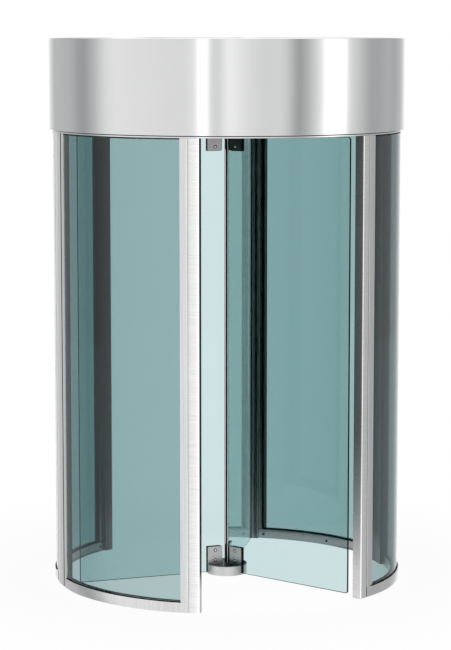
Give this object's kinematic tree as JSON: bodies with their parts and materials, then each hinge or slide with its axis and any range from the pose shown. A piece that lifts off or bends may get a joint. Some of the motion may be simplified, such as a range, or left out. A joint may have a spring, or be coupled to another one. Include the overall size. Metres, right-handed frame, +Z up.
{
  "type": "full-height turnstile",
  "caption": "Full-height turnstile: a round canopy on curved glass side walls, with a rotor of frameless glass wings clamped to discs at the floor and the ceiling.",
  "frame": {"origin": "on the floor at the rotor's axis, the centre of the base", "axes": "+Z up along the rotor's axis, -Y towards the front opening, +X to the right seen from the front"},
  "size_m": [1.635, 1.635, 2.5],
  "materials": {
    "brushed_stainless": "brushed",
    "satin_fittings": "satin",
    "glass": "clear, faint green tint",
    "gasket_rubber": "matte"
  },
  "bodies": {
    "drum": {"canopy_front_fascia": "brushed_stainless", "canopy_rear_fascia": "brushed_stainless", "canopy_top_cover": "brushed_stainless", "ceiling_plate": "brushed_stainless", "head_bearing": "brushed_stainless", "header_front": "brushed_stainless", "header_rear": "brushed_stainless", "header_left": "brushed_stainless", "header_right": "brushed_stainless", "front_left_post": "brushed_stainless", "front_right_post": "brushed_stainless", "rear_left_post": "brushed_stainless", "rear_right_post": "brushed_stainless", "left_middle_post": "brushed_stainless", "right_middle_post": "brushed_stainless", "front_left_outer_stile": "brushed_stainless", "front_left_inner_stile": "brushed_stainless", "rear_left_outer_stile": "brushed_stainless", "rear_left_inner_stile": "brushed_stainless", "front_right_outer_stile": "brushed_stainless", "front_right_inner_stile": "brushed_stainless", "rear_right_outer_stile": "brushed_stainless", "rear_right_inner_stile": "brushed_stainless", "front_left_base_rail": "brushed_stainless", "rear_left_base_rail": "brushed_stainless", "front_right_base_rail": "brushed_stainless", "rear_right_base_rail": "brushed_stainless", "front_left_pane": "glass", "rear_left_pane": "glass", "front_right_pane": "glass", "rear_right_pane": "glass", "left_gaskets": "gasket_rubber", "right_gaskets": "gasket_rubber", "floor_bearing": "satin_fittings"},
    "rotor": {"foot_disc": "satin_fittings", "head_disc": "satin_fittings", "left_wing": "glass", "front_wing": "glass", "rear_wing": "glass", "left_wing_foot_clamp": "satin_fittings", "front_wing_foot_clamp": "satin_fittings", "rear_wing_foot_clamp": "satin_fittings", "left_wing_head_clamp": "satin_fittings", "front_wing_head_clamp": "satin_fittings", "rear_wing_head_clamp": "satin_fittings"}
  },
  "joints": [
    {"name": "rotor_turn", "type": "hinge", "parent": "drum", "child": "rotor", "pos_m": [0, 0, 0], "axis": [0, 0, 1], "continuous": true}
  ]
}
